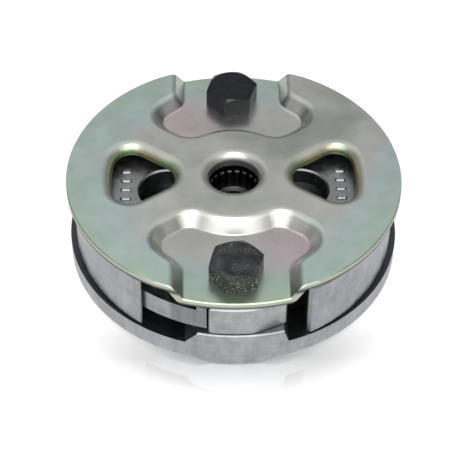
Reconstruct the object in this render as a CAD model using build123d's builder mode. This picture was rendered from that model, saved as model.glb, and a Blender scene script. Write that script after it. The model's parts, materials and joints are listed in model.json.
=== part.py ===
from build123d import *
import math
import os

# Two-shoe centrifugal clutch, in millimetres.
# The axis is Z, the feet stand on Z = 0, the cover bolts lie on the Y axis and the shoes slide along X.

# Fits
running_gap = 0.3
pin_gap = 0.02
thread_gap = 0.05
tolerance = 0.01

# Carrier: a cast dish with a raised ring, two bolt pads and a foot under each pad
foot_height = 1.2
foot_half_width = 5.4
foot_slope = 2.9
foot_edge_chamfer = 0.3
ring_radius = 42.4
ring_width = 9.4
ring_height = 5.3
ring_bottom_chamfer = 0.4
dish_thickness = 3.3
pad_height = 4.0
pad_top_left = 9.4
pad_top_right = 11.6
pad_draft_left = 0.8
pad_draft_right = 0.3
pad_edge_chamfer = 0.3

# Hub: a turned sleeve with the crank thread below and a serrated socket above
hub_spigot_radius = 10.0
hub_flange_radius = 13.5
hub_flange_thickness = 2.5
hub_radius = 11.5
hub_height = 19.5
hub_chamfer = 0.9
crank_thread_radius = 4.46
crank_thread_length = 15.0
crank_chamfer = 0.8
socket_radius = 6.2
socket_chamfer = 0.3
serration_depth = 1.0
serration_count = 20
serration_root_width = 0.7
serration_mouth_width = 1.3

# Driver blocks: the two abutments that the shoes push against
block_depth = 17.9
block_left = 6.9
block_right = 12.3
block_radius = 41.9
block_height = 9.0
block_relief_start = 4.5
block_relief_depth = 3.6
block_corner = 1.0
block_blend = 10.0
block_edge = 0.4
block_top_edge = 0.6
bolt_inset = 10.0
dowel_radius = 1.5
dowel_length = 10.0
dowel_chamfer = 0.3
dowel_engagement = 5.0
dowel_offset = 8.4
dowel_spacing = 7.5

# Cover: a pressed steel disc with two joggled recesses, two windows and a centre hole
cover_radius = 42.5
blank_margin = 10.0
cover_thickness = 2.0
cover_edge = 0.25
recess_rim = 41.9
recess_rim_radius = 48.0
recess_depth = 3.5
recess_wall_run = 2.7
recess_half_width = 12.8
recess_neck = 29.6
recess_neck_fillet = 5.0
lobe_x = 20.6
lobe_y = 22.3
lobe_fillet = 4.0
bump_fillet = 4.0
recess_inner_radius = 19.1
bump_angle = 36.0
rim_bend = 2.0
floor_bend = 0.8
window_tip = 10.9
window_tip_fillet = 5.5
window_half_angle = 35.0
window_outer_radius = 31.2
window_corner_fillet = 4.5
window_bend = 2.6
window_lip_drop = 0.8
lip_wall = 1.8
centre_hole_radius = 6.4
centre_bend = 2.4
centre_flange_drop = 1.6
lip_root = 0.5

# Cover bolts, with hexagon heads
bolt_radius = 4.0
bolt_length = 20.0
bolt_hole_radius = 4.25
bolt_tip_chamfer = 0.8
head_height = 5.3
head_across_flats = 12.0
head_top_share = 0.94
head_chamfer_angle = 30.0
front_head_turn = 16.0
rear_head_turn = 12.0

# Shoes: sliding weights, drawn for the right side and turned half round for the left
shoe_face_radius = 43.6
shoe_inset = 2.8
shoe_wall = 5.9
shoe_cover_gap = 0.4
shoe_plain_end = 17.3
shoe_finger_end = 22.9
shoe_end_chamfer = 1.2
shoe_edge = 0.4
finger_end_chamfer = 0.5
finger_setback = 1.3
finger_thickness = 4.2
finger_height = 5.9
finger_drop = 0.9
finger_root = 3.0
finger_pad_length = 2.4
web_drop = 0.55
web_thickness = 4.5
web_tip = 11.0
hub_relief_radius = 12.3
relief_x = 17.0
relief_radius = 7.3
relief_edge = 0.4
pip_x = 27.6
pip_count = 5
pip_spacing = 3.3
pip_length = 2.8
pip_width = 1.3
pip_height = 0.5
pip_edge = 0.3

# Springs and the pins that they hook on
spring_pin_x = 15.0
spring_pin_y = 17.0
spring_pin_radius = 1.7
spring_pin_chamfer = 0.3
spring_pin_floor_gap = 1.0
spring_wire = 1.8
spring_mean_radius = 2.8
spring_pitch = 2.6
spring_turns = 6.5
spring_below_web = 4.75
spring_joint_share = 1.06

# Sizes and levels that follow from the ones above
block_inner = block_radius - block_depth
bolt_circle_radius = block_radius - bolt_inset
ring_top = foot_height + ring_height
dish_top = foot_height + dish_thickness
pad_top = ring_top + pad_height
recess_underside = pad_top + block_height
recess_floor = recess_underside + cover_thickness
cover_underside = recess_underside + recess_depth
cover_top = cover_underside + cover_thickness
shoe_bottom = ring_top + running_gap
shoe_top = cover_underside - shoe_cover_gap
web_top = recess_underside - web_drop
web_bottom = web_top - web_thickness
finger_top = web_top - finger_drop
finger_bottom = finger_top - finger_height
spring_level = web_bottom - spring_below_web
recess_taper = math.degrees(math.atan(recess_wall_run / recess_depth))
underside_shift = cover_thickness * math.tan(math.radians(90 - recess_taper) / 2)
blank = 2 * (cover_radius + blank_margin)

# Front and rear pieces are the same, turned half round; so are the right and left shoes
ENDS = (("front", 0, 1), ("rear", 180, -1))
SIDES = (("right", 0), ("left", 180))

os.makedirs("parts", exist_ok=True)


def end_plane(sign):
    """Upright plane through the axis, facing out at the front (1) or the rear (-1)."""
    return Plane(origin=(0, 0, 0), x_dir=(sign, 0, 0), z_dir=(0, -sign, 0))


def recess_outline(grow):
    """Floor of a front recess, open past the rim, grown all round."""
    bump_x = recess_inner_radius * math.sin(math.radians(bump_angle))
    bump_y = recess_inner_radius * math.cos(math.radians(bump_angle))
    with BuildSketch() as outline:
        with BuildLine():
            Polyline(
                (bump_x, -bump_y),
                (lobe_x, -lobe_y),
                (recess_half_width, -recess_neck),
                (recess_half_width, -blank),
                (-recess_half_width, -blank),
                (-recess_half_width, -recess_neck),
                (-lobe_x, -lobe_y),
                (-bump_x, -bump_y),
            )
            ThreePointArc((-bump_x, -bump_y), (0, -recess_inner_radius), (bump_x, -bump_y))
        make_face()
        corners = outline.vertices()
        fillet(corners.filter_by(lambda v: abs(abs(v.X) - lobe_x) < tolerance), lobe_fillet)
        corners = outline.vertices()
        neck = corners.filter_by(lambda v: abs(v.Y + recess_neck) < tolerance)
        fillet(neck, recess_neck_fillet)
        corners = outline.vertices()
        fillet(corners.filter_by(lambda v: abs(v.Y + bump_y) < tolerance), bump_fillet)
        if grow > 0:
            offset(amount=grow)
    return outline.sketch


def window_outline(grow):
    """Clear opening of the right-hand window, grown all round."""
    half = math.radians(window_half_angle)
    reach = math.sqrt(window_outer_radius**2 - (window_tip * math.sin(half)) ** 2)
    side = reach - window_tip * math.cos(half)
    corner = (window_tip + side * math.cos(half), side * math.sin(half))
    with BuildSketch() as outline:
        with BuildLine():
            Line((window_tip, 0), corner)
            ThreePointArc(corner, (window_outer_radius, 0), (corner[0], -corner[1]))
            Line((corner[0], -corner[1]), (window_tip, 0))
        make_face()
        tip = outline.vertices().sort_by(Axis.X)[0]
        fillet(tip, window_tip_fillet)
        corners = outline.vertices().filter_by(lambda v: abs(abs(v.Y) - corner[1]) < tolerance)
        fillet(corners, window_corner_fillet)
        if grow > 0:
            offset(amount=grow)
    return outline.sketch


def bolt_pad(sign):
    """Bolt pad of the carrier, rising from the dish with sloping sides to its flat top."""
    rise = pad_top - dish_top
    with BuildPart() as pad:
        with BuildSketch(end_plane(sign).offset(block_inner)):
            with BuildLine():
                Polyline(
                    (-pad_top_left, pad_top),
                    (pad_top_right, pad_top),
                    (pad_top_right + pad_draft_right * rise, dish_top),
                    (-pad_top_left - pad_draft_left * rise, dish_top),
                    close=True,
                )
            make_face()
        extrude(amount=ring_radius)
        with BuildSketch(Plane.XY):
            Circle(ring_radius)
        extrude(amount=pad_top, mode=Mode.INTERSECT)
        outer_edge = pad.edges().group_by(Axis.Z)[-1].filter_by(GeomType.CIRCLE)
        chamfer(outer_edge, pad_edge_chamfer)
    return pad.part


def foot(sign):
    """Foot below a bolt pad, flush with the ring's face, with sloping ends."""
    foot_top = foot_height + ring_bottom_chamfer
    run = foot_slope * foot_top
    with BuildPart() as block_foot:
        with BuildSketch(end_plane(sign).offset(block_inner)):
            with BuildLine():
                Polyline(
                    (-foot_half_width, 0),
                    (foot_half_width, 0),
                    (foot_half_width + run, foot_top),
                    (-foot_half_width - run, foot_top),
                    close=True,
                )
            make_face()
        extrude(amount=ring_radius)
        with BuildSketch(Plane.XY):
            Circle(ring_radius)
        extrude(amount=foot_top, mode=Mode.INTERSECT)
        outer_edge = block_foot.edges().group_by(Axis.Z)[0].filter_by(GeomType.CIRCLE)
        chamfer(outer_edge, foot_edge_chamfer)
    return block_foot.part


# Carrier: turned dish and ring
with BuildPart() as carrier:
    with BuildSketch(Plane.XY.offset(foot_height)):
        Circle(ring_radius)
    extrude(amount=ring_height)
    chamfer(carrier.edges().group_by(Axis.Z)[0], ring_bottom_chamfer)
    with BuildSketch(Plane.XY.offset(dish_top)):
        Circle(ring_radius - ring_width)
    extrude(amount=ring_height, mode=Mode.SUBTRACT)
    for _, turn, sign in ENDS:
        base = Plane.XY.rotated((0, 0, turn))
        add(bolt_pad(sign))
        add(foot(sign))
        # Threaded hole for the cover bolt, right through the foot
        with BuildSketch(base):
            with Locations((0, -bolt_circle_radius)):
                Circle(bolt_radius + thread_gap)
        extrude(amount=pad_top, mode=Mode.SUBTRACT)
        # Blind holes for the dowel pins
        with BuildSketch(base.offset(pad_top)):
            with Locations((dowel_offset, -bolt_circle_radius)):
                with GridLocations(0, dowel_spacing, 1, 2):
                    Circle(dowel_radius + pin_gap)
        extrude(amount=-dowel_engagement, mode=Mode.SUBTRACT)
    with BuildSketch(Plane.XY):
        Circle(hub_spigot_radius)
    extrude(amount=pad_top, mode=Mode.SUBTRACT)
carrier.part.label = "carrier"
export_step(carrier.part, "parts/carrier.step")


# Hub: turned sleeve, then the serrations of the tool socket
with BuildPart() as hub:
    with BuildSketch(Plane.XZ):
        with BuildLine():
            Polyline(
                (crank_thread_radius + crank_chamfer, 0),
                (hub_spigot_radius, 0),
                (hub_spigot_radius, dish_top),
                (hub_flange_radius, dish_top),
                (hub_flange_radius, dish_top + hub_flange_thickness),
                (hub_radius, dish_top + hub_flange_thickness),
                (hub_radius, hub_height - hub_chamfer),
                (hub_radius - hub_chamfer, hub_height),
                (socket_radius + socket_chamfer, hub_height),
                (socket_radius, hub_height - socket_chamfer),
                (socket_radius, crank_thread_length),
                (crank_thread_radius + crank_chamfer, crank_thread_length),
                (crank_thread_radius, crank_thread_length - crank_chamfer),
                (crank_thread_radius, crank_chamfer),
                close=True,
            )
        make_face()
    revolve(axis=Axis.Z)
    with BuildSketch(Plane.XY.offset(hub_height)):
        with PolarLocations(0, serration_count):
            Polygon(
                (socket_radius - serration_depth, -serration_mouth_width / 2),
                (socket_radius + serration_depth, -serration_root_width / 2),
                (socket_radius + serration_depth, serration_root_width / 2),
                (socket_radius - serration_depth, serration_mouth_width / 2),
                align=None,
            )
    extrude(amount=crank_thread_length - hub_height, mode=Mode.SUBTRACT)
hub.part.label = "hub"
export_step(hub.part, "parts/hub.step")


# Driver blocks, each with its two dowel pins
for name, turn, _ in ENDS:
    base = Plane.XY.rotated((0, 0, turn))
    with BuildPart() as block:
        relief_y = math.sqrt(block_radius**2 - block_relief_start**2)
        left_y = math.sqrt(block_radius**2 - block_left**2)
        with BuildSketch(base.offset(pad_top)):
            with BuildLine():
                Polyline(
                    (-block_left, -left_y),
                    (-block_left, -block_inner),
                    (block_right, -block_inner),
                    (block_right, -relief_y + block_relief_depth),
                    (block_relief_start, -relief_y),
                )
                ThreePointArc((block_relief_start, -relief_y), (0, -block_radius), (-block_left, -left_y))
            make_face()
        extrude(amount=block_height)
        # The relief runs smoothly into the round outer face
        relief_start = base.from_local_coords((block_relief_start, -relief_y, pad_top))
        uprights = block.edges().filter_by(Axis.Z).sort_by_distance(relief_start)
        fillet(uprights[0], block_blend)
        middle_x = (block_right - block_left) / 2
        half_width = (block_right + block_left) / 2
        axis = base.from_local_coords((middle_x, 0, 0))
        uprights = block.edges().filter_by(Axis.Z)
        corners = uprights.filter_by(lambda e: abs(e.center().X - axis.X) > half_width - tolerance)
        fillet(corners, block_corner)
        fillet(block.edges().group_by(Axis.Z)[0], block_edge)
        chamfer(block.edges().group_by(Axis.Z)[-1], block_top_edge)
        with BuildSketch(base.offset(pad_top)):
            with Locations((0, -bolt_circle_radius)):
                Circle(bolt_hole_radius)
        extrude(amount=block_height, mode=Mode.SUBTRACT)
        with BuildSketch(base.offset(pad_top)):
            with Locations((dowel_offset, -bolt_circle_radius)):
                with GridLocations(0, dowel_spacing, 1, 2):
                    Circle(dowel_radius + pin_gap)
        extrude(amount=dowel_length - dowel_engagement, mode=Mode.SUBTRACT)
    block.part.label = "driver_block_" + name
    export_step(block.part, "parts/driver_block_" + name + ".step")

    for place, step in (("inner", 0.5), ("outer", -0.5)):
        with BuildPart() as dowel:
            with BuildSketch(base.offset(pad_top - dowel_engagement)):
                with Locations((dowel_offset, -bolt_circle_radius + step * dowel_spacing)):
                    Circle(dowel_radius)
            extrude(amount=dowel_length)
            chamfer(dowel.edges(), dowel_chamfer)
        dowel.part.label = "dowel_pin_" + name + "_" + place
        export_step(dowel.part, "parts/dowel_pin_" + name + "_" + place + ".step")


# Cover bolts
for (name, turn, sign), head_turn in zip(ENDS, (front_head_turn, rear_head_turn)):
    base = Plane.XY.rotated((0, 0, turn))
    with BuildPart() as bolt:
        head_corner = head_across_flats / math.sqrt(3)
        top_radius = head_top_share * head_across_flats / 2
        slope = math.tan(math.radians(head_chamfer_angle))
        with BuildSketch(base.offset(recess_floor)):
            with Locations((0, -bolt_circle_radius)):
                RegularPolygon(head_corner, 6, rotation=head_turn)
        extrude(amount=head_height)
        # The cone that rounds the six upper corners
        with BuildSketch(end_plane(sign).offset(bolt_circle_radius)):
            with BuildLine():
                Polyline(
                    (0, recess_floor),
                    (2 * head_corner, recess_floor),
                    (2 * head_corner, recess_floor + head_height - (2 * head_corner - top_radius) * slope),
                    (top_radius, recess_floor + head_height),
                    (0, recess_floor + head_height),
                    close=True,
                )
            make_face()
        axis = Axis((0, -sign * bolt_circle_radius, 0), (0, 0, 1))
        revolve(axis=axis, mode=Mode.INTERSECT)
        with BuildSketch(base.offset(recess_floor)):
            with Locations((0, -bolt_circle_radius)):
                Circle(bolt_radius)
        extrude(amount=-bolt_length)
        chamfer(bolt.edges().group_by(Axis.Z)[0], bolt_tip_chamfer)
    bolt.part.label = "cover_bolt_" + name
    export_step(bolt.part, "parts/cover_bolt_" + name + ".step")


# Cover plate
with BuildPart() as cover_plate:
    with BuildSketch(Plane.XY.offset(cover_underside)):
        Rectangle(blank, blank)
    extrude(amount=cover_thickness)
    # The metal pressed down below each recess, then the recess itself
    for _, turn, _ in ENDS:
        base = Plane.XY.rotated((0, 0, turn))
        with BuildSketch(base.offset(recess_underside)):
            add(recess_outline(underside_shift))
            Rectangle(blank, blank, mode=Mode.INTERSECT)
        extrude(amount=recess_depth, taper=-recess_taper)
    with BuildSketch(Plane.XY.offset(recess_underside)):
        Rectangle(blank, blank)
    extrude(amount=cover_top - recess_underside, mode=Mode.INTERSECT)
    for _, turn, _ in ENDS:
        base = Plane.XY.rotated((0, 0, turn))
        with BuildSketch(base.offset(recess_floor)):
            add(recess_outline(0))
        extrude(amount=recess_depth, taper=-recess_taper, mode=Mode.SUBTRACT)
    levels = {
        cover_top: rim_bend,
        recess_floor: floor_bend,
        cover_underside: floor_bend,
        recess_underside: rim_bend,
    }
    for level, radius in levels.items():
        bends = cover_plate.edges().filter_by_position(Axis.Z, level - tolerance, level + tolerance)
        bends = bends.filter_by(lambda e: abs(e.center().Y) < blank / 2 - tolerance)
        bends = bends.filter_by(lambda e: abs(e.center().X) < blank / 2 - tolerance)
        fillet(bends, radius)
    # Round blanking of the rim, which the pressing draws in a little at both recesses
    with BuildSketch(Plane.XY):
        Circle(cover_radius)
        for _, _, sign in ENDS:
            with Locations((0, sign * (recess_rim_radius - recess_rim))):
                Circle(recess_rim_radius, mode=Mode.INTERSECT)
    extrude(amount=cover_top, mode=Mode.INTERSECT)
    rim = cover_plate.faces(Select.LAST).filter_by(GeomType.CYLINDER)
    rim = rim.filter_by(lambda f: f.radius > cover_radius - tolerance)
    chamfer(rim.edges().filter_by(Axis.Z, reverse=True), cover_edge)
    # Windows, with their edges turned down
    for _, turn in SIDES:
        base = Plane.XY.rotated((0, 0, turn))
        with BuildSketch(base.offset(cover_underside)):
            add(window_outline(lip_wall))
        extrude(amount=-window_lip_drop)
        with BuildSketch(base.offset(cover_underside - window_lip_drop)):
            add(window_outline(0))
        extrude(amount=cover_top, mode=Mode.SUBTRACT)
        mouth = cover_plate.edges(Select.LAST).group_by(Axis.Z)[-1]
        fillet(mouth, window_bend)
    # Centre hole, with a drawn flange
    with BuildSketch(Plane.XY.offset(cover_underside)):
        Circle(centre_hole_radius + lip_wall)
    extrude(amount=-centre_flange_drop)
    with BuildSketch(Plane.XY.offset(cover_underside - centre_flange_drop)):
        Circle(centre_hole_radius)
    extrude(amount=cover_top, mode=Mode.SUBTRACT)
    fillet(cover_plate.edges(Select.LAST).group_by(Axis.Z)[-1], centre_bend)
    # Small radii where the lips leave the sheet
    underside = (cover_underside - tolerance, cover_underside + tolerance)
    roots = cover_plate.edges().filter_by_position(Axis.Z, *underside)
    roots = roots.filter_by(lambda e: Vector(e.center().X, e.center().Y).length < window_outer_radius)
    fillet(roots, lip_root)
    with BuildSketch(Plane.XY):
        with PolarLocations(bolt_circle_radius, 2, start_angle=90):
            Circle(bolt_hole_radius)
    extrude(amount=cover_top, mode=Mode.SUBTRACT)
cover_plate.part.label = "cover_plate"
export_step(cover_plate.part, "parts/cover_plate.step")


# Shoes, each with its two spring pins
for side, turn in SIDES:
    base = Plane.XY.rotated((0, 0, turn))
    wall_inner = shoe_face_radius - shoe_wall
    finger_outer = shoe_face_radius - finger_setback
    finger_tip = block_left + running_gap
    web_half_width = block_inner - running_gap
    with BuildPart() as shoe:
        # Curved rubbing wall, with square ends
        with BuildSketch(base.offset(shoe_bottom)):
            with Locations((-shoe_inset, 0)):
                Circle(shoe_face_radius)
                Circle(wall_inner, mode=Mode.SUBTRACT)
            with BuildLine():
                Polyline(
                    (shoe_plain_end, -shoe_face_radius),
                    (2 * shoe_face_radius, -shoe_face_radius),
                    (2 * shoe_face_radius, shoe_face_radius),
                    (shoe_finger_end, shoe_face_radius),
                    (shoe_finger_end, 0),
                    (shoe_plain_end, 0),
                    close=True,
                )
            make_face(mode=Mode.INTERSECT)
        extrude(amount=shoe_top - shoe_bottom)
        face_edges = shoe.edges().filter_by(GeomType.CIRCLE)
        face_edges = face_edges.filter_by(lambda e: abs(e.radius - shoe_face_radius) < tolerance)
        chamfer(face_edges, shoe_edge)
        plain_end = base.from_local_coords((shoe_plain_end, -shoe_face_radius, shoe_bottom))
        chamfer(shoe.edges().filter_by(Axis.Z).sort_by_distance(plain_end)[0], shoe_end_chamfer)
        finger_end = base.from_local_coords((shoe_finger_end, shoe_face_radius, shoe_bottom))
        chamfer(shoe.edges().filter_by(Axis.Z).sort_by_distance(finger_end)[0], finger_end_chamfer)
        # Web, relieved for the hub and by a round notch
        with BuildSketch(base.offset(web_bottom)):
            with Locations((-shoe_inset, 0)):
                Circle(shoe_face_radius - shoe_wall / 2)
            with Locations((web_tip, 0)):
                Rectangle(
                    shoe_face_radius,
                    2 * web_half_width,
                    align=(Align.MIN, Align.CENTER),
                    mode=Mode.INTERSECT,
                )
            with Locations((relief_x, 0)):
                Circle(relief_radius, mode=Mode.SUBTRACT)
            Circle(hub_relief_radius, mode=Mode.SUBTRACT)
        extrude(amount=web_thickness)
        notch = shoe.edges().filter_by(GeomType.CIRCLE)
        notch = notch.filter_by(lambda e: abs(e.radius - relief_radius) < tolerance)
        chamfer(notch.group_by(Axis.Z)[-1], relief_edge)
        # Finger that reaches to the driver block, with its raised end pad
        with BuildSketch(base.offset(finger_bottom)):
            with Locations((-shoe_inset, 0)):
                Circle(finger_outer)
                Circle(finger_outer - finger_thickness, mode=Mode.SUBTRACT)
            with Locations((finger_tip, 0)):
                Rectangle(
                    shoe_finger_end + finger_root - finger_tip,
                    2 * shoe_face_radius,
                    align=(Align.MIN, Align.MIN),
                    mode=Mode.INTERSECT,
                )
        extrude(amount=finger_height)
        with BuildSketch(base.offset(finger_bottom)):
            with Locations((-shoe_inset, 0)):
                Circle(finger_outer)
                Circle(finger_outer - finger_thickness, mode=Mode.SUBTRACT)
            with Locations((finger_tip, 0)):
                Rectangle(
                    finger_pad_length,
                    2 * shoe_face_radius,
                    align=(Align.MIN, Align.MIN),
                    mode=Mode.INTERSECT,
                )
        extrude(amount=recess_underside - running_gap - finger_bottom)
        # Row of cast pips on the web
        with BuildSketch(base.offset(web_top)):
            with Locations((pip_x, 0)):
                with GridLocations(0, pip_spacing, 1, pip_count):
                    SlotOverall(pip_length, pip_width)
        extrude(amount=pip_height)
        chamfer(shoe.edges(Select.LAST).group_by(Axis.Z)[-1], pip_edge)
        # Holes for the spring pins
        with BuildSketch(base.offset(web_bottom)):
            with Locations((spring_pin_x, spring_pin_y), (spring_pin_x, -spring_pin_y)):
                Circle(spring_pin_radius + pin_gap)
        extrude(amount=web_thickness, mode=Mode.SUBTRACT)
    shoe.part.label = "shoe_" + side
    export_step(shoe.part, "parts/shoe_" + side + ".step")

    for place, step in (("a", -1), ("b", 1)):
        with BuildPart() as spring_pin:
            pin_bottom = dish_top + spring_pin_floor_gap
            with BuildSketch(base.offset(pin_bottom)):
                with Locations((spring_pin_x, step * spring_pin_y)):
                    Circle(spring_pin_radius)
            extrude(amount=web_top - pin_bottom)
            chamfer(spring_pin.edges(), spring_pin_chamfer)
        spring_pin.part.label = "spring_pin_" + side + "_" + place
        export_step(spring_pin.part, "parts/spring_pin_" + side + "_" + place + ".step")


# Tension springs, one each side of the hub, hooked on the shoe pins
for name, _, sign in ENDS:
    middle_y = -sign * spring_pin_y
    body = spring_pitch * spring_turns
    coil_axis = Axis((0, middle_y, spring_level), (1, 0, 0))
    coil_start = (-body / 2, middle_y, spring_level)
    with BuildPart() as spring:
        with BuildLine() as coil:
            Helix(spring_pitch, body, spring_mean_radius, center=coil_start, direction=(1, 0, 0))
        # A quarter turn brings both ends of the coil level with the hooks
        path = coil.line.rotate(coil_axis, -90)
        with BuildSketch(Plane(origin=path @ 0, z_dir=path % 0)):
            RegularPolygon(spring_wire / 2, 6)
        sweep(path=path, is_frenet=True)
        for way in (-1, 1):
            root = (way * body / 2, middle_y - way * spring_mean_radius)
            bend = (way * spring_pin_x, middle_y - way * spring_mean_radius)
            crown = (way * (spring_pin_x + spring_mean_radius), middle_y)
            tail = (way * spring_pin_x, middle_y + way * spring_mean_radius)
            with BuildLine(Plane.XY.offset(spring_level)) as hook:
                Line(root, bend)
                ThreePointArc(bend, crown, tail)
            hook_start = Plane(origin=(root[0], root[1], spring_level), z_dir=(way, 0, 0))
            with BuildSketch(hook_start):
                Circle(spring_wire / 2)
            sweep(path=hook.line)
            with Locations((root[0], root[1], spring_level)):
                Sphere(spring_joint_share * spring_wire / 2)
    spring.part.label = "spring_" + name
    export_step(spring.part, "parts/spring_" + name + ".step")
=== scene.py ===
import bpy
import json
import math
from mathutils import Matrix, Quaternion, Vector


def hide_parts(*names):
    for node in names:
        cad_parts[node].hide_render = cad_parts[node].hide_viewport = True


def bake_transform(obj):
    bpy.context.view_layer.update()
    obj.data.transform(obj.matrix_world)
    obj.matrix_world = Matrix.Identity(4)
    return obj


# Two-shoe centrifugal clutch, dressed for a studio photograph.
# Lengths are in metres; MM turns millimetres into metres. Colours are sRGB hex codes.

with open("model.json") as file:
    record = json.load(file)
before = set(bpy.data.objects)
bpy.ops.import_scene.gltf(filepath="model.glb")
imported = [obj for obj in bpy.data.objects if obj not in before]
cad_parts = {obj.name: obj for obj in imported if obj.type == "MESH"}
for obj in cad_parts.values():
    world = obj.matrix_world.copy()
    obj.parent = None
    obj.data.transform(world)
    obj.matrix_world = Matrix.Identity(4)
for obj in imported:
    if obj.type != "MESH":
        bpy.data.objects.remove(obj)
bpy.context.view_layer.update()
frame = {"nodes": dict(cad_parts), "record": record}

MM = 0.001
WHITE = (1.0, 1.0, 1.0, 1.0)

# Levels above the feet and reaches from the axis, as the solids have them
COVER_TOP = 25.0 * MM
COVER_RADIUS = 42.5 * MM
RING_TOP = 6.5 * MM
FINGER_REACH = 16.5 * MM


# Nodes: a MapRange's inputs are its value, where that begins and ends, and what it gives at both.
# Most of a noise's values lie in NOISE_RANGE.
NOISE_RANGE = (0.3, 0.7)
SLOPE_SPAN = (0.35, 0.99, 1.0, 0.0)


def linear(code):
    """Colour in linear light from an sRGB hex code."""
    parts = [int(code[i:i + 2], 16) / 255 for i in (0, 2, 4)]
    parts = [c / 12.92 if c <= 0.04045 else ((c + 0.055) / 1.055) ** 2.4 for c in parts]
    return (*parts, 1.0)


def set_inputs(tree, node, inputs):
    """Sets or links a node's sockets, by name or in the order in which the node shows them."""
    shown = [socket for socket in node.inputs if socket.enabled]
    if not isinstance(inputs, dict):
        inputs = dict(enumerate(inputs))
    for key, value in inputs.items():
        socket = shown[key] if isinstance(key, int) else node.inputs[key]
        if isinstance(value, bpy.types.Node):
            value = next(output for output in value.outputs if output.enabled)
        if isinstance(value, bpy.types.NodeSocket):
            tree.links.new(value, socket)
        else:
            socket.default_value = value


def add_node(tree, kind, inputs=(), stops=(), **settings):
    """Adds a node with its settings, the stops of its colour ramp, and values or links for its sockets."""
    node = tree.nodes.new("ShaderNode" + kind)
    for name, value in settings.items():
        setattr(node, name, value)
    for index, (place, code) in enumerate(stops):
        elements = node.color_ramp.elements
        element = elements[index] if index < 2 else elements.new(place)
        element.position = place
        element.color = linear(code)
    set_inputs(tree, node, inputs)
    return node


def new_material(name):
    """A new material, its node tree and its Principled shader."""
    material = bpy.data.materials.new(name)
    material.use_nodes = True
    tree = material.node_tree
    return material, tree, tree.nodes["Principled BSDF"]


def axis_distance(tree, place):
    """Distance of a point from the clutch's axis."""
    flat = add_node(tree, "Mapping", {"Vector": place, "Scale": (1.0, 1.0, 0.0)})
    return add_node(tree, "VectorMath", (flat,), operation="LENGTH")


def band(tree, value, rise, fall):
    """One between a rise and a fall, nought outside them."""
    risen = add_node(tree, "MapRange", (value, *rise, 0.0, 1.0))
    not_fallen = add_node(tree, "MapRange", (value, *fall, 1.0, 0.0))
    return add_node(tree, "Math", (risen, not_fallen), operation="MULTIPLY")


def slope(tree):
    """Nought on level metal, one on upright walls."""
    normal = add_node(tree, "NewGeometry").outputs["True Normal"]
    upward = add_node(tree, "SeparateXYZ", (normal,)).outputs["Z"]
    level = add_node(tree, "Math", (upward,), operation="ABSOLUTE")
    return add_node(tree, "MapRange", (level, *SLOPE_SPAN))


# Cover: film colours of its plating, from the thinnest film to the thickest
# The thinnest film's colour also serves as the painted shade at the rear right of the flat
FILM_DULL_AND_SHADED = "a9aca6"
FILM_GREY = "c3c5be"
FILM_PALE = "cdcec9"
FILM_BLUE = "c3d1d0"
FILM_SEA = "bdd2c8"
FILM_LEAF = "c6dabc"
FLAT_FILM = (
    (0.00, FILM_DULL_AND_SHADED),
    (0.22, FILM_GREY),
    (0.44, FILM_PALE),
    (0.60, FILM_BLUE),
    (0.84, FILM_SEA),
    (1.00, FILM_LEAF),
)
RECESS_FILM = (
    (0.10, FILM_GREY),
    (0.40, FILM_PALE),
    (0.58, FILM_BLUE),
    (0.76, FILM_SEA),
    (0.94, FILM_LEAF),
)

# Colours of its rosy lobes, of the films on its window lips and of its cut rim
FILM_ROSE = "d4bfc6"
FILM_LIP = "9cb886"
FILM_STRAW = "bdb494"
RIM_BRIGHT = "b6bbac"
RIM_TORN = "5e6258"

# Sizes of the patches in its finish; the grain is drawn coarser than the real one, so that it shows
FILM_PATCH = 22 * MM
STRAW_PATCH = 7 * MM
CLOUD_PATCH = 6 * MM
SHEET_WAVE = 12 * MM
SHEET_WAVE_HEIGHT = 0.35 * MM
PLATING_GRAIN = 0.9 * MM
PLATING_GRAIN_HEIGHT = 0.015 * MM

# Places on its film scales at both ends of a change, and how far the drift and the rear move them
FLAT_TINT = (-0.1, 0.4)
FLAT_DRIFT = 0.8
# How far the painted shade at the rear right moves the flat's film towards its darkest colour
REAR_RIGHT_SHADE_SHIFT = 0.5
RECESS_TINT = (-0.1, 0.72)
RECESS_DRIFT = 0.5
REAR_RECESS_SHIFT = 0.12

# Shares and shades of its layers, and the roughness of its satin
ROSY_SHARE = 0.65
FRONT_RECESS_SHADE = 0.89
PALE_WALL_SHARE = 0.8
STRAW_SPAN = (0.45, 0.56, 0.0, 1.0)
CLOUD_SHADE = (0.9, 1.05)
SATIN_ROUGHNESS = (0.26, 0.32)
WALL_ROUGHNESS = 0.13

# Where its finishes begin and end to change: radii, levels, and places along X and Y
FILM_OUTWARD = (14 * MM, COVER_RADIUS)
# Where the painted shade at the rear right of the flat begins and ends, along X and Y
REAR_RIGHT_SHADE_X = (-5 * MM, 15 * MM)
REAR_RIGHT_SHADE_Y = (-2 * MM, 20 * MM)
RECESS_OUTWARD = (17 * MM, 42 * MM)
RECESS_LEVEL = (22.2 * MM, 24.2 * MM)
FRONT_TO_REAR = (-5 * MM, 5 * MM)
ROSY_CORNER = (-300 * MM * MM, 60 * MM * MM)
ROSY_END = (28 * MM, 35 * MM)
LIP_SIDE = (-1 * MM, 1 * MM)
LIP_SIDE_SLOPE = 0.95
LIP_INNER = (9.5 * MM, 11 * MM)
LIP_OUTER = (36 * MM, 38 * MM)
RIM_EDGE = (41.6 * MM, 41.8 * MM)
TORN_FOOT = (22.4 * MM, 22.9 * MM)
TORN_HEAD = (23.6 * MM, 24.0 * MM)
TORN_NECK = (20.1 * MM, 20.5 * MM)


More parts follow.
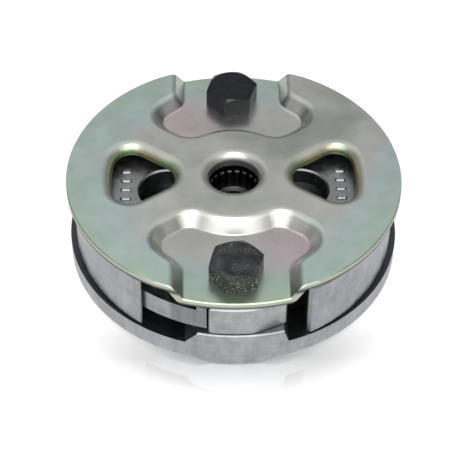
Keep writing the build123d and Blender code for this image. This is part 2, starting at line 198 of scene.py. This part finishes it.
def film_on_flat(tree, axis, radius, drift):
    """Film colour of the cover's flat, greener outwards, with painted shade at the rear right that draws it
    darker and greyer.
    """
    outward = add_node(tree, "MapRange", (radius, *FILM_OUTWARD, *FLAT_TINT))
    tint = add_node(tree, "Math", (drift, FLAT_DRIFT, outward), operation="MULTIPLY_ADD")
    # Painted shade: towards the rear right the film is drawn darker and greyer
    right = add_node(tree, "MapRange", (axis["X"], *REAR_RIGHT_SHADE_X, 0.0, 1.0))
    rear = add_node(tree, "MapRange", (axis["Y"], *REAR_RIGHT_SHADE_Y, 0.0, REAR_RIGHT_SHADE_SHIFT))
    painted_shade = add_node(tree, "Math", (right, rear), operation="MULTIPLY")
    tint = add_node(tree, "Math", (tint, painted_shade), operation="SUBTRACT")
    return add_node(tree, "ValToRGB", (tint,), stops=FLAT_FILM)


def film_in_recesses(tree, axis, drift):
    """Film colour of the recess floors, greener outwards, with one rosy lobe in each."""
    forward = add_node(tree, "Math", (axis["Y"],), operation="ABSOLUTE")
    outward = add_node(tree, "MapRange", (forward, *RECESS_OUTWARD, *RECESS_TINT))
    tint = add_node(tree, "Math", (drift, RECESS_DRIFT, outward), operation="MULTIPLY_ADD")
    rear = add_node(tree, "MapRange", (axis["Y"], *FRONT_TO_REAR, 0.0, REAR_RECESS_SHIFT))
    tint = add_node(tree, "Math", (tint, rear), operation="SUBTRACT")
    colour = add_node(tree, "ValToRGB", (tint,), stops=RECESS_FILM)
    # The rosy lobes are the front right and the rear left one, where X times Y is below nought
    corner = add_node(tree, "Math", (axis["X"], axis["Y"]), operation="MULTIPLY")
    lobe = add_node(tree, "MapRange", (corner, *ROSY_CORNER, ROSY_SHARE, 0.0))
    not_neck = add_node(tree, "MapRange", (forward, *ROSY_END, 1.0, 0.0))
    rosy = add_node(tree, "Math", (lobe, not_neck), operation="MULTIPLY")
    colour = add_node(tree, "Mix", (rosy, colour, linear(FILM_ROSE)), data_type="RGBA")
    # The front recess is drawn a little darker than the rear one
    shade = add_node(tree, "MapRange", (axis["Y"], *FRONT_TO_REAR, FRONT_RECESS_SHADE, 1.0))
    return add_node(tree, "Mix", (1.0, colour, shade), data_type="RGBA", blend_type="MULTIPLY")


def window_sectors(tree, axis, radius):
    """One in the two sectors between the recesses, where the windows are, and nought elsewhere."""
    aside = add_node(tree, "Math", (axis["X"],), operation="ABSOLUTE")
    forward = add_node(tree, "Math", (axis["Y"],), operation="ABSOLUTE")
    side = add_node(tree, "Math", (aside, LIP_SIDE_SLOPE), operation="MULTIPLY")
    past_side = add_node(tree, "Math", (side, forward), operation="SUBTRACT")
    sector = add_node(tree, "MapRange", (past_side, *LIP_SIDE, 0.0, 1.0))
    ring = band(tree, radius, LIP_INNER, LIP_OUTER)
    return add_node(tree, "Math", (sector, ring), operation="MULTIPLY")


def lay_lip_film(tree, colour, place, axis, radius, steep):
    """Lays the film of the turned-down window lips over a colour; it changes from green to straw."""
    patches = add_node(tree, "TexNoise", {"Vector": place, "Scale": 1 / STRAW_PATCH})
    straw = add_node(tree, "MapRange", (patches, *STRAW_SPAN))
    film = add_node(tree, "Mix", (straw, linear(FILM_LIP), linear(FILM_STRAW)), data_type="RGBA")
    lips = add_node(tree, "Math", (window_sectors(tree, axis, radius), steep), operation="MULTIPLY")
    return add_node(tree, "Mix", (lips, colour, film), data_type="RGBA")


def lay_cut_rim(tree, colour, axis, radius, steep):
    """Lays the blanked rim over a colour: a burnished band above and a dull torn band below."""
    edge = add_node(tree, "MapRange", (radius, *RIM_EDGE, 0.0, 1.0))
    rim = add_node(tree, "Math", (edge, steep), operation="MULTIPLY")
    # At the necks of the recesses the rim, and its torn band, lie lower
    torn_round = band(tree, axis["Z"], TORN_FOOT, TORN_HEAD)
    torn_neck = add_node(tree, "MapRange", (axis["Z"], *TORN_NECK, 1.0, 0.0))
    torn_level = add_node(tree, "Math", (torn_round, torn_neck), operation="MAXIMUM")
    torn = add_node(tree, "Math", (rim, torn_level), operation="MULTIPLY")
    colour = add_node(tree, "Mix", (rim, colour, linear(RIM_BRIGHT)), data_type="RGBA")
    return add_node(tree, "Mix", (torn, colour, linear(RIM_TORN)), data_type="RGBA")


def sheet_relief(tree, place):
    """Fine grain of the plating over the slight waves of pressed sheet."""
    grain = add_node(tree, "TexNoise", {"Vector": place, "Scale": 1 / PLATING_GRAIN})
    fine = add_node(tree, "Bump", {"Height": grain, "Strength": 0.2, "Distance": PLATING_GRAIN_HEIGHT})
    waves = add_node(tree, "TexNoise", {"Vector": place, "Scale": 1 / SHEET_WAVE})
    return add_node(tree, "Bump", {
        "Height": waves, "Strength": 0.35, "Distance": SHEET_WAVE_HEIGHT, "Normal": fine,
    })


def zinc_plating():
    # Pressed steel sheet with clear passivated zinc plating: thin colour films drift over a satin metal,
    # rosy in the pressed lobes, sea green and leaf green towards the rim, green on the window lips.
    material, tree, shader = new_material("passivated_zinc_plating")
    place = add_node(tree, "TexCoord").outputs["Object"]
    axis = add_node(tree, "SeparateXYZ", (place,)).outputs
    radius = axis_distance(tree, place)
    steep = slope(tree)
    drift = add_node(tree, "TexNoise", {"Vector": place, "Scale": 1 / FILM_PATCH, "Detail": 3.0})
    flat = film_on_flat(tree, axis, radius, drift)
    hollow = film_in_recesses(tree, axis, drift)
    depth = add_node(tree, "MapRange", (axis["Z"], *RECESS_LEVEL, 1.0, 0.0))
    colour = add_node(tree, "Mix", (depth, flat, hollow), data_type="RGBA")
    wall = add_node(tree, "Math", (steep, PALE_WALL_SHARE), operation="MULTIPLY")
    colour = add_node(tree, "Mix", (wall, colour, linear(FILM_PALE)), data_type="RGBA")
    colour = lay_lip_film(tree, colour, place, axis, radius, steep)
    colour = lay_cut_rim(tree, colour, axis, radius, steep)
    # Faint clouds in the satin, rougher where the press has drawn the sheet
    cloud = add_node(tree, "TexNoise", {
        "Vector": place, "Scale": 1 / CLOUD_PATCH, "Detail": 4.0, "Roughness": 0.55,
    })
    shade = add_node(tree, "MapRange", (cloud, *NOISE_RANGE, *CLOUD_SHADE))
    colour = add_node(tree, "Mix", (1.0, colour, shade), data_type="RGBA", blend_type="MULTIPLY")
    satin = add_node(tree, "MapRange", (cloud, *NOISE_RANGE, *SATIN_ROUGHNESS))
    rough = add_node(tree, "Math", (steep, WALL_ROUGHNESS, satin), operation="MULTIPLY_ADD")
    normal = sheet_relief(tree, place)
    set_inputs(tree, shader, {"Metallic": 1.0, "Base Color": colour, "Roughness": rough, "Normal": normal})
    return material


# Bare steel: its oil and painted shade, the sizes of its patterns, and where they begin and end to change.
# The tool lines are drawn coarser than the real ones, so that they show.
OIL_AND_SHADE = "3e4044"
STEEL_MOTTLE = 2.2 * MM
MOTTLE_STRETCH = (1.0, 1.0, 0.45)
TOOL_LINE = 0.6 * MM
TOOL_LINE_STRETCH = (0.04, 0.04, 1.0)
STEEL_STAIN = 9 * MM
STEEL_RELIEF = 0.05 * MM
CREVICE_REACH = 3.0 * MM
CREVICE_SPAN = (0.1, 0.75)
FINGER_SPAN = (FINGER_REACH - 1 * MM, FINGER_REACH)
OIL_AND_SHADE_SPAN = (0.05 * MM, 0.15 * MM)

# Shades of its stains and of the fingers, the share of painted shade and oil on the ring top, and how the
# roughness varies
STAIN_SHADE = (0.32, 0.68, 0.86, 1.06)
FINGER_SHADE = 0.66
OIL_AND_SHADE_SHARE = 0.88
SMOOTHER = 0.06
ROUGHER = 0.1


def steel_surface(tree, place, line_share):
    """Two patterns of bare steel: its mottle, and that mottle with a share of tool lines."""
    upright = add_node(tree, "Mapping", {"Vector": place, "Scale": MOTTLE_STRETCH})
    mottle = add_node(tree, "TexNoise", {
        "Vector": upright, "Scale": 1 / STEEL_MOTTLE, "Detail": 6.0, "Roughness": 0.68,
    })
    level = add_node(tree, "Mapping", {"Vector": place, "Scale": TOOL_LINE_STRETCH})
    lines = add_node(tree, "TexNoise", {
        "Vector": level, "Scale": 1 / TOOL_LINE, "Detail": 3.0, "Roughness": 0.6,
    })
    mottle_part = add_node(tree, "Math", (mottle, 1.0 - line_share), operation="MULTIPLY")
    surface = add_node(tree, "Math", (lines, line_share, mottle_part), operation="MULTIPLY_ADD")
    return mottle, surface


def lay_oil_and_shade(tree, colour, axis):
    """Lays painted shade, drawn as black oil, on the level top of the carrier's ring under the shoes, over
    a colour.
    """
    above_ring = add_node(tree, "Math", (axis["Z"], RING_TOP), operation="SUBTRACT")
    from_ring = add_node(tree, "Math", (above_ring,), operation="ABSOLUTE")
    near_ring = add_node(tree, "MapRange", (from_ring, *OIL_AND_SHADE_SPAN, OIL_AND_SHADE_SHARE, 0.0))
    level = add_node(tree, "Math", (1.0, slope(tree)), operation="SUBTRACT")
    oil_and_shade = add_node(tree, "Math", (near_ring, level), operation="MULTIPLY")
    return add_node(tree, "Mix", (oil_and_shade, colour, linear(OIL_AND_SHADE)), data_type="RGBA")


def bare_steel(name, light, dark, rough, line_share, crevice_shade_and_oil, darkened_fingers=False, oil_shaded_ring=False):
    # Bare steel, cast and then turned or ground: a mottled satin grey with faint tool lines round it,
    # and painted shade where pieces meet, drawn as old oil in the crevices.
    material, tree, shader = new_material(name)
    place = add_node(tree, "TexCoord").outputs["Object"]
    axis = add_node(tree, "SeparateXYZ", (place,)).outputs
    mottle, surface = steel_surface(tree, place, line_share)
    colour = add_node(tree, "ValToRGB", (surface,), stops=((0.34, dark), (0.66, light)))
    stains = add_node(tree, "TexNoise", {
        "Vector": place, "Scale": 1 / STEEL_STAIN, "Detail": 4.0, "Roughness": 0.6,
    })
    stained = add_node(tree, "MapRange", (stains, *STAIN_SHADE))
    # Painted shade: the colour darkens in crevices where pieces meet, standing also for old oil
    open_air = add_node(tree, "AmbientOcclusion", {"Distance": CREVICE_REACH}, samples=8).outputs["AO"]
    painted_crevice_shade = add_node(tree, "MapRange", (open_air, *CREVICE_SPAN, 1.0 - crevice_shade_and_oil, 1.0))
    shades = [stained, painted_crevice_shade]
    if darkened_fingers:
        # The fingers near the middle plane are drawn darker
        aside = add_node(tree, "Math", (axis["X"],), operation="ABSOLUTE")
        shades.append(add_node(tree, "MapRange", (aside, *FINGER_SPAN, FINGER_SHADE, 1.0)))
    for shade in shades:
        colour = add_node(tree, "Mix", (1.0, colour, shade), data_type="RGBA", blend_type="MULTIPLY")
    if oil_shaded_ring:
        # Painted shade, drawn as black oil, on the level ring top under the shoes
        colour = lay_oil_and_shade(tree, colour, axis)
    roughness = add_node(tree, "MapRange", (mottle, *NOISE_RANGE, rough - SMOOTHER, rough + ROUGHER))
    normal = add_node(tree, "Bump", {"Height": surface, "Strength": 0.5, "Distance": STEEL_RELIEF})
    set_inputs(tree, shader, {
        "Metallic": 1.0, "Base Color": colour, "Roughness": roughness, "Normal": normal,
    })
    return material


# Bolts: the worn flanks of the front one with their painted glints, and the sizes of the patterns
FLANK_GRAIN_AND_GLINT_STOPS = ((0.52, "101109"), (0.61, "2c2d20"), (0.70, "e6e4d4"))
FLANK_GRAIN = 0.26 * MM
FLANK_SPAN = (24.2 * MM, 26.6 * MM)
OXIDE_BLOTCH = 3 * MM
BLOTCH_SHADE = (0.35, 0.65, 0.35, 1.5)
GLOSSIER = 0.08
DULLER = 0.12


def black_oxide(name, dark, light, rough, gloss, pit, depth, worn_flanks=False):
    # Hot black oxide over forged steel: a deep blue-black skin with fine pits; their bump catches the
    # light, and their lighter speckle is painted glint.
    material, tree, shader = new_material(name)
    place = add_node(tree, "TexCoord").outputs["Object"]
    pits = add_node(tree, "TexNoise", {"Vector": place, "Scale": 1 / pit, "Detail": 4.0, "Roughness": 0.7})
    colour = add_node(tree, "ValToRGB", (pits,), stops=((0.40, dark), (0.56, dark), (0.74, light)))
    blotches = add_node(tree, "TexNoise", {
        "Vector": place, "Scale": 1 / OXIDE_BLOTCH, "Detail": 3.0, "Roughness": 0.6,
    })
    shade = add_node(tree, "MapRange", (blotches, *BLOTCH_SHADE))
    colour = add_node(tree, "Mix", (1.0, colour, shade), data_type="RGBA", blend_type="MULTIPLY")
    if worn_flanks:
        # Low on the head the flanks are worn to olive, with bare grains painted near white as glints
        height = add_node(tree, "SeparateXYZ", (place,)).outputs["Z"]
        low = add_node(tree, "MapRange", (height, *FLANK_SPAN, 1.0, 0.0))
        flanks = add_node(tree, "Math", (low, slope(tree)), operation="MULTIPLY")
        grit = add_node(tree, "TexNoise", {"Vector": place, "Scale": 1 / FLANK_GRAIN})
        grains_and_glints = add_node(tree, "ValToRGB", (grit,), stops=FLANK_GRAIN_AND_GLINT_STOPS)
        colour = add_node(tree, "Mix", (flanks, colour, grains_and_glints), data_type="RGBA")
    roughness = add_node(tree, "MapRange", (pits, *NOISE_RANGE, rough - GLOSSIER, rough + DULLER))
    normal = add_node(tree, "Bump", {"Height": pits, "Strength": 0.6, "Distance": depth})
    set_inputs(tree, shader, {
        "Specular IOR Level": gloss, "Base Color": colour, "Roughness": roughness, "Normal": normal,
    })
    return material


# Materials by slot
materials = {
    "zinc_plated_cover": zinc_plating(),
    # Driver blocks, ground: an even pale satin
    "machined_steel": bare_steel("ground_steel", light="b3b4b6", dark="959698",
                                 rough=0.34, line_share=0.2, crevice_shade_and_oil=0.8),
    # Carrier, cast and then turned: more mottled, with painted shade drawn as old oil under the shoes
    "cast_carrier": bare_steel("turned_steel", light="b2b4b8", dark="8e9094",
                               rough=0.36, line_share=0.25, crevice_shade_and_oil=0.15, oil_shaded_ring=True),
    # Hub, turned and stained by oil: dark, with clear tool lines
    "hub_steel": bare_steel("oiled_turned_steel", light="5a5a5d", dark="3c3c40",
                            rough=0.34, line_share=0.5, crevice_shade_and_oil=0.7),
    # Dowels and spring pins, drawn rod: a plain mid grey
    "pin_steel": bare_steel("drawn_pin_steel", light="8c8c90", dark="6c6c70",
                            rough=0.3, line_share=0.6, crevice_shade_and_oil=0.6),
    # Springs, drawn wire under oil: dark and satin
    "spring_steel": bare_steel("oiled_spring_wire", light="68686c", dark="4c4c50",
                               rough=0.35, line_share=0.4, crevice_shade_and_oil=0.6),
    # Rear bolt: a smooth skin that is nearly black
    "black_bolt": black_oxide("black_oxide_smooth", dark="0a1018", light="141b24",
                              rough=0.17, gloss=0.3, pit=1.4 * MM, depth=0.01 * MM),
}

# Materials of the shoes, ground, with their fingers drawn darker, and of the front bolt, worn and speckled
shoe_steel = bare_steel("ground_shoe_steel", light="acaeb2", dark="8c8e92",
                        rough=0.34, line_share=0.2, crevice_shade_and_oil=0.45, darkened_fingers=True)
speckled_oxide = black_oxide("black_oxide_speckled", dark="2b2c2e", light="6c6d72",
                             rough=0.28, gloss=0.32, pit=0.6 * MM, depth=0.05 * MM, worn_flanks=True)
own_materials = {"shoe_left": shoe_steel, "shoe_right": shoe_steel, "cover_bolt_front": speckled_oxide}

slot_of = {s["node"]: s["material_slot"] for s in frame["record"]["subparts"]}
for node, piece in frame["nodes"].items():
    piece.data.materials.clear()
    piece.data.materials.append(own_materials.get(node, materials[slot_of[node]]))


# Springs: one half coil with its hook round its pin, which is copied four times
SPRING_WIRE = 1.8 * MM
SPRING_MEAN_RADIUS = 2.8 * MM
SPRING_PITCH = 2.6 * MM
SPRING_TURNS = 6.5
SPRING_LEVEL = 9.7 * MM
SPRING_PIN_X = 15.0 * MM
SPRING_PIN_Y = 17.0 * MM
SPRING_POINTS_PER_TURN = 16
SPRING_SHANK = (0.1 * MM, 1.6 * MM)
SPRING_DOUBLES = 0.001 * MM
SPRING_SMOOTH_ANGLE = math.radians(40)


def spring_line(coil_end):
    """Points of half a spring's wire along +X, from the middle of its coil to the end of its hook."""
    half_turns = SPRING_TURNS / 2
    steps = int(half_turns * SPRING_POINTS_PER_TURN)
    points = []
    for i in range(steps):
        angle = math.pi - math.tau * half_turns * (1 - i / steps)
        points.append((coil_end * i / steps, SPRING_MEAN_RADIUS * math.cos(angle),
                       SPRING_MEAN_RADIUS * math.sin(angle)))
    for past_coil in SPRING_SHANK:
        points.append((coil_end + past_coil, -SPRING_MEAN_RADIUS, 0))
    hook_steps = SPRING_POINTS_PER_TURN // 2
    for i in range(hook_steps + 1):
        angle = math.pi * i / hook_steps - math.pi / 2
        points.append((SPRING_PIN_X + SPRING_MEAN_RADIUS * math.cos(angle),
                       SPRING_MEAN_RADIUS * math.sin(angle), 0))
    return points


def spring_half(coil_end):
    """Half a tension spring: round wire along its line, as a closed mesh."""
    points = spring_line(coil_end)
    bpy.ops.object.select_all(action="DESELECT")
    bpy.ops.curve.primitive_nurbs_path_add(location=(0, 0, 0))
    curve = bpy.context.object.data
    curve.splines.clear()
    spline = curve.splines.new("NURBS")
    spline.points.add(len(points) - 1)
    for point, place in zip(spline.points, points):
        point.co = (*place, 1.0)
    spline.order_u = 3
    spline.use_endpoint_u = True
    curve.dimensions = "3D"
    curve.resolution_u = 3
    curve.bevel_depth = SPRING_WIRE / 2
    curve.bevel_resolution = 4
    curve.use_fill_caps = True
    bpy.ops.object.convert(target="MESH")
    bpy.ops.object.mode_set(mode="EDIT")
    bpy.ops.mesh.select_all(action="SELECT")
    bpy.ops.mesh.remove_doubles(threshold=SPRING_DOUBLES)
    bpy.ops.mesh.normals_make_consistent(inside=False)
    bpy.ops.object.mode_set(mode="OBJECT")
    bpy.ops.object.shade_smooth_by_angle(angle=SPRING_SMOOTH_ANGLE)
    return bpy.context.object


coil_end = SPRING_PITCH * SPRING_TURNS / 2
pattern = spring_half(coil_end)
for end, middle in (("front", -SPRING_PIN_Y), ("rear", SPRING_PIN_Y)):
    for side, turn, way in (("right", 0.0, 1), ("left", math.pi, -1)):
        half = bpy.data.objects.new(f"spring_{end}_half_{side}", pattern.data.copy())
        bpy.context.scene.collection.objects.link(half)
        half.location = (0, middle, SPRING_LEVEL)
        half.rotation_euler = (0, 0, turn)
        bpy.ops.object.select_all(action="DESELECT")
        half.select_set(True)
        bpy.context.view_layer.objects.active = half
        bpy.ops.object.transform_apply(location=True, rotation=True, scale=True)
        half.data.materials.clear()
        half.data.materials.append(materials["spring_steel"])
        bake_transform(half)
        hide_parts(f"spring_{end}")
bpy.data.objects.remove(pattern)


# Floor and backdrop, which keep the shadow and a faint mirror image, darkened in front into a painted
# reflection
FLOOR_SIZE = 6.0
BOARD_GLOW = 0.6
BOARD_LIFT = 0.12
FRONT_MIRROR_SHADE = 0.6
FRONT_MIRROR_ROUND = (COVER_RADIUS, 56 * MM)
FRONT_MIRROR_AHEAD = (-40 * MM, -26 * MM)


def white_board():
    # White lacquered board that glows a little: the shadow stays soft, and the object mirrors faintly in a
    # darker gloss in front of it, a painted reflection.
    material = bpy.data.materials.new("white_board")
    material.use_nodes = True
    tree = material.node_tree
    tree.nodes.clear()
    matte = add_node(tree, "BsdfDiffuse", {"Color": linear("b4b4b4")})
    glow = add_node(tree, "Emission", {"Color": WHITE, "Strength": BOARD_GLOW})
    lift = add_node(tree, "Emission", {"Color": WHITE, "Strength": BOARD_LIFT})
    pale = add_node(tree, "AddShader", (matte, glow))
    white = add_node(tree, "AddShader", (pale, lift))
    # In front of the object the board turns to a darker grey gloss that dies away outwards: a real mirror
    # image, darkened there into a painted reflection
    place = add_node(tree, "TexCoord").outputs["Object"]
    ahead = add_node(tree, "SeparateXYZ", (place,)).outputs["Y"]
    round_object = add_node(tree, "MapRange", (axis_distance(tree, place), *FRONT_MIRROR_ROUND, FRONT_MIRROR_SHADE, 0.0))
    in_front = add_node(tree, "MapRange", (ahead, *FRONT_MIRROR_AHEAD, 1.0, 0.0))
    mirror_shade = add_node(tree, "Math", (round_object, in_front), operation="MULTIPLY")
    gloss = add_node(tree, "BsdfGlossy", {"Color": linear("c4c4c4"), "Roughness": 0.08})
    seen = add_node(tree, "MixShader", (mirror_shade, white, gloss))
    # Metal mirrors the pale board, and other light finds a plain one
    ray = add_node(tree, "LightPath").outputs
    plain = add_node(tree, "BsdfDiffuse", {"Color": linear("e8e8e8")})
    unseen = add_node(tree, "MixShader", (ray["Is Glossy Ray"], plain, pale))
    board = add_node(tree, "MixShader", (ray["Is Camera Ray"], unseen, seen))
    add_node(tree, "OutputMaterial", {"Surface": board})
    return material


bpy.ops.object.select_all(action="DESELECT")
bpy.ops.mesh.primitive_plane_add(size=FLOOR_SIZE, location=(0, 0, 0))
floor = bpy.context.object
floor.name = "floor"
floor.data.materials.append(white_board())


# Spans of the world's brightness: where each begins and ends, as a part of a direction of length one,
# and what it gives at both
LOW_SKY = (0.12, 0.42, 0.12, 0.45)
HIGH_SKY = (0.62, 0.735, 0.0, 0.38)
LEFT_TO_RIGHT = (-0.2, 0.2, 1.06, 0.92)
FRONT_SKY = (-0.15, -0.4, 0.0, 0.6)
FRONT_HEIGHT = (0.5, 0.75, 0.0, 1.0)


def studio_sky():
    """World that is white to the eye, and a pale sky over a dim horizon as a light and in reflections."""
    world = bpy.data.worlds.new("studio")
    world.use_nodes = True
    tree = world.node_tree
    to_eye = add_node(tree, "LightPath").outputs["Is Camera Ray"]
    outwards = add_node(tree, "TexCoord").outputs["Generated"]
    way = add_node(tree, "SeparateXYZ", (outwards,)).outputs
    # Brightness rises with height in two steps, and is a little stronger on the left
    low_sky = add_node(tree, "MapRange", (way["Z"], *LOW_SKY))
    high_sky = add_node(tree, "MapRange", (way["Z"], *HIGH_SKY))
    sky = add_node(tree, "Math", (low_sky, high_sky), operation="ADD")
    sideways = add_node(tree, "MapRange", (way["X"], *LEFT_TO_RIGHT))
    sky = add_node(tree, "Math", (sky, sideways), operation="MULTIPLY")
    # High in front it is brighter still
    in_front = add_node(tree, "MapRange", (way["Y"], *FRONT_SKY))
    high = add_node(tree, "MapRange", (way["Z"], *FRONT_HEIGHT))
    bright_front = add_node(tree, "Math", (in_front, high), operation="MULTIPLY")
    sky = add_node(tree, "Math", (sky, bright_front), operation="ADD")
    strength = add_node(tree, "Math", (sky, to_eye), operation="MAXIMUM")
    set_inputs(tree, tree.nodes["Background"], {"Color": WHITE, "Strength": strength})
    return world


bpy.context.scene.world = studio_sky()

# Lamps
LAMP_AIM = Vector((0, 0, 20 * MM))


def softbox(name, place, width, height, power):
    """Lamp with a rectangular face, aimed at the object."""
    lamp = bpy.data.lights.new(name, "AREA")
    lamp.shape = "RECTANGLE"
    lamp.size = width
    lamp.size_y = height
    lamp.energy = power
    piece = bpy.data.objects.new(name, lamp)
    bpy.context.scene.collection.objects.link(piece)
    piece.location = place
    piece.rotation_euler = (LAMP_AIM - Vector(place)).to_track_quat("-Z", "Y").to_euler()


softbox("front_softbox", place=(0, -0.72, 0.54), width=1.3, height=0.56, power=4.3)
softbox("top_softbox", place=(-0.03, -0.2, 0.92), width=0.36, height=0.12, power=1.3)

# Camera: the photograph's place, aim and lens, found by laying the solids over it
CAMERA_ELEVATION = math.radians(43.19)
CAMERA_AZIMUTH = math.radians(-1.57)
CAMERA_ROLL = math.radians(0.77)
CAMERA_TILT = math.radians(-2.39)
CAMERA_PAN = math.radians(-0.04)
CAMERA_DISTANCE = 382.5 * MM
CAMERA_LENS = 115.38
CAMERA_SENSOR = 36.0
CAMERA_CLIP = 10 * MM

reach = CAMERA_DISTANCE * math.cos(CAMERA_ELEVATION)
eye = Vector((
    reach * math.sin(CAMERA_AZIMUTH),
    -reach * math.cos(CAMERA_AZIMUTH),
    COVER_TOP + CAMERA_DISTANCE * math.sin(CAMERA_ELEVATION),
))
camera_data = bpy.data.cameras.new("camera")
camera_data.lens = CAMERA_LENS
camera_data.sensor_width = CAMERA_SENSOR
camera_data.clip_start = CAMERA_CLIP
camera = bpy.data.objects.new("camera", camera_data)
bpy.context.scene.collection.objects.link(camera)
camera.location = eye
turn = (Vector((0, 0, COVER_TOP)) - eye).to_track_quat("-Z", "Y")
turn = turn @ Quaternion((0, 0, 1), CAMERA_ROLL)
turn = turn @ Quaternion((1, 0, 0), CAMERA_TILT)
turn = turn @ Quaternion((0, 1, 0), CAMERA_PAN)
camera.rotation_mode = "QUATERNION"
camera.rotation_quaternion = turn
bpy.context.scene.camera = camera
bpy.context.scene.view_settings.view_transform = "Standard"
